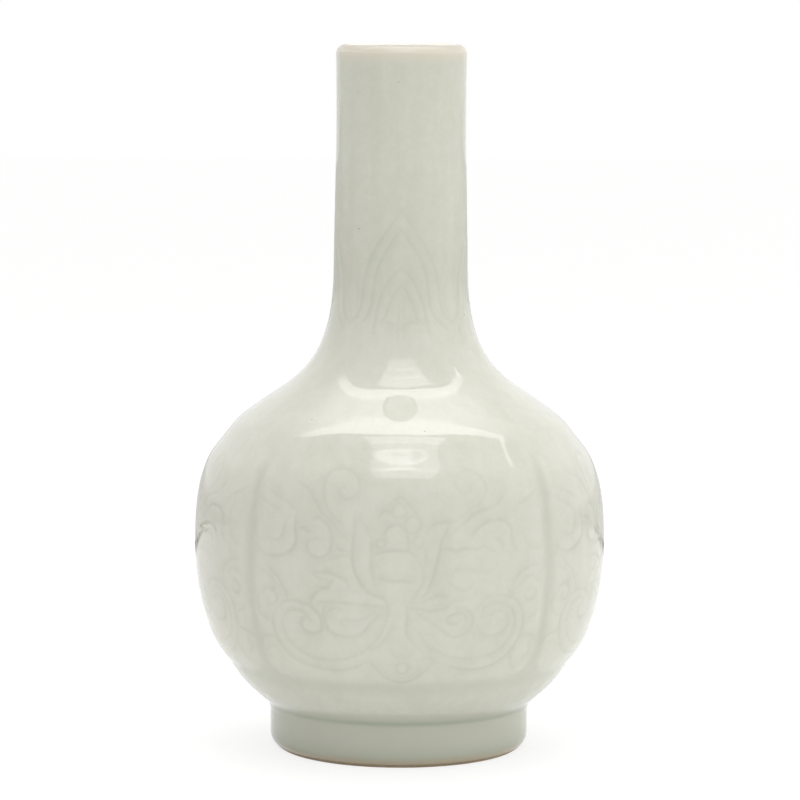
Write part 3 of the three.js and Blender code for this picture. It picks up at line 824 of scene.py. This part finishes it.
def celadon():
    """The glossy grey-green glaze: faint clouds, deeper colour where it pools in cuts and grooves,
    pooled glaze and painted shade in the crease over the foot, painted shade on the foot, near the
    table and on the band below the panels, a creamy lip whose crest is darkened by painted shade,
    the inside of the lip lightened by painted light, a brown wiped edge at the foot, a few iron
    specks, and a skin that is not quite even."""
    material = bpy.data.materials.new("celadon_glaze")
    nodes = Nodes(material)
    place = nodes.place()
    height = nodes.part(place, "Z")
    cut = nodes.add("ShaderNodeAttribute", {"attribute_name": "cut"}, output="Fac")
    groove = nodes.add("ShaderNodeAttribute", {"attribute_name": "groove"}, output="Fac")
    drift = nodes.ramp(nodes.noise(place, 60), 0.3, 0.7)
    mottle = nodes.noise(place, 5, detail=4.0)
    curdle = nodes.ramp(nodes.noise(place, 1.7, detail=3.0), 0.3, 0.7)
    streaks = nodes.ramp(nodes.noise(nodes.stretched(place, (1, 1, 0.07)), 9), 0.3, 0.7)
    peel = nodes.noise(place, 2, detail=1.0)
    neck = nodes.rise(height, *NECK_GREYS)
    clouds = 0.22 * drift + 0.6 * (mottle - 0.5) + 0.14 * curdle + 0.2 * streaks + 0.35 * neck
    colour = nodes.mix(clouds, GLAZE_TONE, GLAZE_DEEP)
    # Painted shade: the glaze on the foot, under the overhang, is mixed towards a darker tone.
    foot = 1 - nodes.rise(height, CREASE_HEIGHT - 3, CREASE_HEIGHT + 6)
    colour = nodes.mix(0.8 * foot, colour, FOOT_SHADE_TONE)
    # Painted shade: the glaze darkens towards the table over its lowest millimetres.
    lowest = 1 - nodes.rise(height, 0, LOW_SHADE_HEIGHT)
    # Painted shade: the band below the panels is made a little darker.
    band_shade = 1 - nodes.rise(height, BAND_TOP + 1, PANEL_BOTTOM + 1)
    filled = nodes.ramp(nodes.noise(place, 14), 0.35, 0.65)
    # Cuts and grooves darken where glaze pools; the crease takes pooled glaze and painted shade; the
    # lowest part of the foot and the band below the panels take painted shade.
    deep = 0.24 * cut * (0.7 + 0.6 * filled) + 0.27 * groove + 0.65 * lowest + 0.1 * band_shade
    colour = nodes.mix(deep, colour, POOLED_GLAZE_AND_SHADE_TONE)
    lip = nodes.rise(height, VASE_HEIGHT - THIN_LIP_REACH, VASE_HEIGHT - 2)
    # Painted shade: the upward-facing crest of the lip is darkened.
    crest = nodes.rise(height, VASE_HEIGHT - SHADED_CREST_REACH, VASE_HEIGHT - 0.2)
    colour = nodes.mix(0.85 * lip, colour, LIP_TONE)
    colour = nodes.mix(0.85 * crest, colour, CREST_SHADE_TONE)
    # Painted light: the inside of the lip, shaded by the mouth, is painted paler.
    level_place = nodes.stretched(place, (1, 1, 0))
    measured = {"operation": "LENGTH"}
    from_axis = nodes.add("ShaderNodeVectorMath", measured, {0: level_place}, output="Value")
    mouth = 1 - nodes.rise(from_axis, bore_radius + 0.3, bore_radius + LIP_INSIDE + 0.3)
    colour = nodes.mix(lip * mouth, colour, MOUTH_LIGHT_TONE)
    edge = 1 - nodes.rise(height + (3 * MM) * mottle, *WIPED_EDGE)
    colour = nodes.mix(0.85 * edge, colour, EDGE_TONE)
    seeds = nodes.add("ShaderNodeTexVoronoi", None, {"Vector": place, "Scale": 1 / (19 * MM)})
    specks = 1 - nodes.ramp(seeds, 0.008, 0.022)
    colour = nodes.mix(0.7 * specks, colour, SPECK_TONE)
    bump = nodes.bump(peel, 0.3, 0.006)
    roughness = 0.02 + 0.03 * mottle + 0.25 * lip
    skin = {"Base Color": colour, "Roughness": roughness, "Normal": bump, "IOR": 1.5}
    nodes.surface(skin)
    return material


glaze = celadon()
PANEL_COLUMNS = 344
PANEL_ROWS = 264
PANEL_COAT_TOP = 131
panel_start, panel_end = wall.way_to(BAND_TOP), wall.way_to(PANEL_COAT_TOP)
panel_ways = np.linspace(panel_start, panel_end, PANEL_ROWS + 1)
panel_names = ["front_panel_glaze", "right_panel_glaze", "back_panel_glaze", "left_panel_glaze"]
for number, panel_name in enumerate(panel_names):
    middle = number * LOBE_TURN
    panel_angles = middle + np.linspace(-LOBE_TURN / 2, LOBE_TURN / 2, PANEL_COLUMNS + 1)
    panel_cuts = on_wall(panel_lines, PANEL_REFERENCE, middle)
    panel = laid_slab(panel_name, panel_angles, panel_ways, panel_cuts, closed=False, back_step=4)
    finish(panel, "outer_glaze", glaze)

# Below the panels a swelling band carries a faint running scroll, down to the crease where the
# body was luted to its foot. The foot's own coat goes on down to its wiped edge.
BAND_BOTTOM = FOOT_WALL_HEIGHT + BOWL_RISE - 2


def coat_round(name, start, end, rows, columns, cuts=(), turn=0.0):
    """A stretch of the coat that goes right round, between two lengths up the wall. Its rows
    and columns are the squares of its face, and turn moves the seam where they meet."""
    ways = np.linspace(start, end, rows + 1)
    angles = np.linspace(-math.pi - turn, math.pi - turn, columns + 1)
    stretch = laid_slab(name, angles, ways, cuts, closed=True)
    finish(stretch, "outer_glaze", glaze)


scroll_turn = LOBE_TURN / SCROLLS_PER_LOBE
band_cuts = []
for number in range(LOBES * SCROLLS_PER_LOBE):
    middle = (number + 0.5) * scroll_turn - math.pi
    band_cuts += on_wall(running_scroll, PANEL_REFERENCE, middle)
band_start = wall.way_to(BAND_BOTTOM)
coat_round("bowl_band_glaze", band_start, panel_start, rows=64, columns=1056, cuts=band_cuts)
coat_round("foot_glaze", 0, band_start, rows=40, columns=528)

# Above the panels the plain shoulder sweeps up into the neck, whose foot stands in plantain
# leaves. The neck is plain above them and rolls over its lip a little way into the mouth.
LEAVES_BOTTOM = 174
LEAVES_TOP = 233
LIP_BOTTOM = VASE_HEIGHT - LIP_OUTSIDE - 2
leaves_start, leaves_end = wall.way_to(LEAVES_BOTTOM), wall.way_to(LEAVES_TOP)
lip_start = wall.way_to(LIP_BOTTOM)
leaf_cuts = []
for number in range(LOBES):
    leaf_cuts += on_wall(neck_lines, NECK_REFERENCE, number * LOBE_TURN - math.pi)
coat_round("shoulder_glaze", panel_end, leaves_start, rows=96, columns=704)
coat_round("neck_leaf_glaze", leaves_start, leaves_end, 176, 528, leaf_cuts, turn=LOBE_TURN / 2)
coat_round("plain_neck_glaze", leaves_end, lip_start, rows=96, columns=352)
coat_round("lip_glaze", lip_start, wall.way[-1], rows=64, columns=352)

# The coat inside was poured in and drained. It lines the hollow from the mouth down to a flat
# floor, and a like coat lines the recess under the base.
FLOOR_HEIGHT = 19.8
FLOOR_FILLET = 6
RECESS_DEPTH = 12
RECESS_FILLET = 4
INNER_TONE = tone(208, 210, 197)
INNER_DEEP = tone(196, 201, 184)


def poured_glaze():
    """The thinner, paler glaze inside and under the base: faint clouds and a glossy skin."""
    material = bpy.data.materials.new("poured_glaze")
    nodes = Nodes(material)
    place = nodes.place()
    clouds = nodes.noise(place, 14, detail=4.0)
    peel = nodes.noise(place, 1.8, detail=1.0)
    colour = nodes.mix(clouds, INNER_TONE, INNER_DEEP)
    bump = nodes.bump(peel, 0.35, 0.02)
    skin = {"Base Color": colour, "Roughness": 0.12 + 0.06 * clouds, "Normal": bump, "IOR": 1.5}
    nodes.surface(skin)
    return material


def shifted(line, depth):
    """A line of (radius, height) points moved to its right by a depth."""
    along = np.gradient(line, axis=0)
    along /= np.linalg.norm(along, axis=1, keepdims=True)
    return line + depth * np.stack([along[:, 1], -along[:, 0]], axis=1)


bowl_way, top_way = wall.way_to(bowl_start[1]), wall.way_to(NECK_BOTTOM_HEIGHT)
radius, height, out, up = wall.at(np.linspace(bowl_way, top_way, 96))
hollow = np.stack([radius - WALL * out, height - WALL * up], axis=1)
floor_edge = (hollow[0, 0] - FLOOR_FILLET, FLOOR_HEIGHT)
fillet = sweep(floor_edge, -88, 0.4, hollow[0], -49, 0.3, 12)
mouth_end = (bore_radius, VASE_HEIGHT - LIP_GLAZE_REACH)
bore = sweep(hollow[-1], 0.5, 0.3, mouth_end, 0, 0.3, 24)
inner_face = np.vstack([[(0, FLOOR_HEIGHT)], [(20, FLOOR_HEIGHT)], fillet, hollow[1:], bore[1:]])
inner_back = shifted(inner_face, GLAZE)
inner_back[0, 0] = 0
inner_back[-1, 1] = inner_face[-1, 1]
lining = turned("inner_glaze_coat", np.vstack([inner_back, inner_face[::-1]]), LINING_STEPS)
pale_glaze = poured_glaze()
finish(lining, "inner_glaze", pale_glaze)

recess_turn = np.linspace(math.pi / 2, 0, 16)[:, None]
recess_arc = np.hstack([np.cos(recess_turn), np.sin(recess_turn)]) * RECESS_FILLET
recess_arc += [RECESS_RADIUS - RECESS_FILLET, RECESS_DEPTH - RECESS_FILLET]
recess_face = np.vstack([[(0, RECESS_DEPTH)], recess_arc, [(RECESS_RADIUS, bare_edge[-1, 1])]])
recess_back = shifted(recess_face, -GLAZE)
recess_back[0, 0] = 0
recess_back[-1, 1] = recess_face[-1, 1]
base_coat = turned("base_glaze_coat", np.vstack([recess_face, recess_back[::-1]]), LINING_STEPS)
finish(base_coat, "base_glaze", pale_glaze)

# The stage is a white table that fades into a white room, darker on the left, with a large
# round lamp overhead and behind, whose bright rim shows as an arc in the glaze of the shoulder.
# In front of it is a window with bright bars, and to the right a narrow strip of light.
TABLE_SIZE = 9000
TABLE_TONE = tone(250, 250, 248)
SHADOW_TONE = tone(137, 137, 136)
TABLE_LIFT = 0.79
TABLE_EDGE = 500
TABLE_EDGE_BEND = 130
EDGE_WIDTH = 60
EDGE_LOSS = 0.66
FAR_LOSS = 0.35
TENT_LEVEL = 0.81
TENT_TILT = 0.31
SCREEN_HEIGHT = 1000
SCREEN_LEFT, SCREEN_RIGHT = -1100, 1100
SCREEN_FRONT, SCREEN_BACK = -900, 1500
LAMP_MIDDLE = (20, 150)
LAMP_LEFT, LAMP_RIGHT = -680, 720
LAMP_BEND = 130
GLOW_INSIDE, GLOW_OUTSIDE = 150, 850
GLOW_LEVEL = 1.9
RIM_FRONT, RIM_BACK = -10, 155
RIM_LEVEL = 1.7
WINDOW_LEFT, WINDOW_RIGHT = -215, 290
WINDOW_FRONT, WINDOW_BACK = -700, -50
WINDOW_LEVEL = 1.8
WINDOW_TOP_LEVEL = 0.5
WINDOW_TOP = (-350, -200)
BAR_LEVEL = 3
SIDE_START = (700, 210)
SIDE_END = (850, 40)
SIDE_WIDTH = 50
SIDE_LEVEL = 3.0
WHITE = (1, 1, 1, 1)

# The left, right, front and back side of each bright bar in the window.
WINDOW_BARS = (
    (-190, 90, -421, -396),
    (60, 290, -431, -423),
    (60, 290, -401, -394),
    (-190, 260, -250, -232),
)


def level_plane(name, left, right, front, back, height, material):
    """A flat rectangle of the stage, level with the table, that faces up."""
    around = ((left, front), (right, front), (right, back), (left, back))
    corners = np.array([(*corner, height) for corner in around]) * MM
    mesh = bpy.data.meshes.new(name)
    mesh.from_pydata(corners.tolist(), [], [(0, 1, 2, 3)])
    mesh.materials.append(material)
    plane = bpy.data.objects.new(name, mesh)
    bpy.context.scene.collection.objects.link(plane)
    return plane


def seen_directly(nodes):
    """1 for rays that see the stage, straight or in a gloss, and 0 for rays that gather light."""
    path = nodes.add("ShaderNodeLightPath").socket.node
    seen = Wire(nodes, path.outputs["Is Camera Ray"])
    for ray in ("Is Glossy Ray", "Is Transmission Ray"):
        both = {0: seen, 1: Wire(nodes, path.outputs[ray])}
        seen = nodes.add("ShaderNodeMath", {"operation": "MAXIMUM"}, both)
    return seen


def between(nodes, value, low, high, blur):
    """1 where the value lies between low and high, in millimetres, with blurred ends."""
    begun = nodes.rise(value, low - blur, low + blur)
    return begun * (1 - nodes.rise(value, high - blur, high + blur))


def table_top():
    """A matte white table. Where it is seen it is plain white, darkened only a little where
    the object keeps light from it. The glaze mirrors its far edge and the dimmer room beyond."""
    material = bpy.data.materials.new("white_table")
    nodes = Nodes(material)
    place = nodes.place()
    across = nodes.part(place, "X")
    along = nodes.part(place, "Y")
    mirrored_ray = nodes.add("ShaderNodeLightPath", output="Is Glossy Ray")
    off_middle = nodes.add("ShaderNodeMath", {"operation": "ABSOLUTE"}, {0: across})
    bent = along - TABLE_EDGE_BEND * MM * nodes.rise(off_middle, 300, 700)
    edge = between(nodes, bent, TABLE_EDGE, TABLE_EDGE + EDGE_WIDTH, blur=8)
    beyond = nodes.rise(bent, TABLE_EDGE, TABLE_EDGE + EDGE_WIDTH)
    strength = TABLE_LIFT - mirrored_ray * (EDGE_LOSS * edge + FAR_LOSS * beyond)
    matte = nodes.add("ShaderNodeBsdfDiffuse", None, {"Color": TABLE_TONE})
    shaded = nodes.add("ShaderNodeBsdfDiffuse", None, {"Color": SHADOW_TONE})
    lift = nodes.add("ShaderNodeEmission", None, {"Strength": strength})
    lifted = nodes.add("ShaderNodeAddShader", None, {0: shaded, 1: lift})
    both = nodes.add("ShaderNodeMixShader", None, {0: seen_directly(nodes), 1: matte, 2: lifted})
    nodes.add("ShaderNodeOutputMaterial", None, {"Surface": both})
    return material


def overhead_light():
    """The lamp and the window: light that depends on the place on the screen."""
    material = bpy.data.materials.new("overhead_light")
    nodes = Nodes(material)
    place = nodes.place()
    across = nodes.part(place, "X")
    along = nodes.part(place, "Y")

    centre = tuple(length * MM for length in (*LAMP_MIDDLE, SCREEN_HEIGHT))
    settings = {"operation": "DISTANCE"}
    away = nodes.add("ShaderNodeVectorMath", settings, {0: place, 1: centre}, output="Value")
    glow = 1 - nodes.rise(away, GLOW_INSIDE, GLOW_OUTSIDE)
    off_middle = nodes.add("ShaderNodeMath", {"operation": "ABSOLUTE"}, {0: across - LAMP_MIDDLE[0] * MM})
    bent = along - LAMP_BEND * MM * nodes.rise(off_middle, 80, 440)
    lamp = nodes.rise(bent, RIM_FRONT - 15, RIM_FRONT + 15)
    rim = between(nodes, bent, RIM_FRONT, RIM_BACK, blur=20)
    rim = rim * between(nodes, across, LAMP_LEFT, LAMP_RIGHT, blur=90)
    level = TENT_LEVEL + GLOW_LEVEL * glow * lamp + RIM_LEVEL * rim
    window = between(nodes, across, WINDOW_LEFT, WINDOW_RIGHT, blur=12)
    window = window * between(nodes, along, WINDOW_FRONT, WINDOW_BACK, blur=15)
    window_top = nodes.rise(along, *WINDOW_TOP)
    level = level + window * (WINDOW_LEVEL + WINDOW_TOP_LEVEL * window_top)
    for left, right, front, back in WINDOW_BARS:
        bar = between(nodes, across, left, right, blur=25)
        level = level + BAR_LEVEL * (bar * between(nodes, along, front, back, blur=2))
    start, end = np.array(SIDE_START), np.array(SIDE_END)
    length = float(np.linalg.norm(end - start))
    right, back = ((end - start) / length).tolist()
    down_it = (right * across + back * along) - float(start @ [right, back]) * MM
    beside_it = (back * across - right * along) - float(start @ [back, -right]) * MM
    side = between(nodes, down_it, 0, length, blur=30)
    side = side * between(nodes, beside_it, -SIDE_WIDTH / 2, SIDE_WIDTH / 2, blur=15)
    light = nodes.add("ShaderNodeEmission", None, {"Strength": level + SIDE_LEVEL * side})
    nodes.add("ShaderNodeOutputMaterial", None, {"Surface": light})
    return material


half_table = TABLE_SIZE / 2
level_plane("table", -half_table, half_table, -half_table, half_table, 0, table_top())
screen_sides = (SCREEN_LEFT, SCREEN_RIGHT, SCREEN_FRONT, SCREEN_BACK)
screen = level_plane("overhead_screen", *screen_sides, SCREEN_HEIGHT, overhead_light())
screen.visible_camera = False

tent = bpy.data.worlds.new("tent")
bpy.context.scene.world = tent
nodes = Nodes(tent)
direction = nodes.add("ShaderNodeTexCoord", output="Generated")
tent_level = TENT_LEVEL + TENT_TILT * nodes.part(direction, "X")
light = nodes.add("ShaderNodeBackground", None, {"Color": WHITE, "Strength": tent_level})
white = nodes.add("ShaderNodeBackground", None, {"Color": WHITE, "Strength": 1.0})
both = nodes.add("ShaderNodeMixShader", None, {0: seen_directly(nodes), 1: light, 2: white})
nodes.add("ShaderNodeOutputWorld", None, {"Surface": both})

# The camera stands where the photograph's did: a long lens, slightly above the shoulder.
CAMERA_PLACE = (-0.04, -1668.8, 345.5)
CAMERA_PITCH = 6.723
CAMERA_ROLL = 0.25
FOCAL_PIXELS = 3938.9
PICTURE_PIXELS = 800
SENSOR_WIDTH = 36
camera_data = bpy.data.cameras.new("camera")
camera_data.sensor_width = SENSOR_WIDTH
camera_data.lens = FOCAL_PIXELS * SENSOR_WIDTH / PICTURE_PIXELS
camera = bpy.data.objects.new("camera", camera_data)
pitched = Matrix.Rotation(math.radians(90 - CAMERA_PITCH), 4, "X")
rolled = Matrix.Rotation(math.radians(CAMERA_ROLL), 4, "Z")
camera.matrix_world = Matrix.Translation(Vector(CAMERA_PLACE) * MM) @ (pitched @ rolled)
bpy.context.scene.collection.objects.link(camera)
bpy.context.scene.camera = camera
bpy.context.scene.view_settings.view_transform = "Standard"
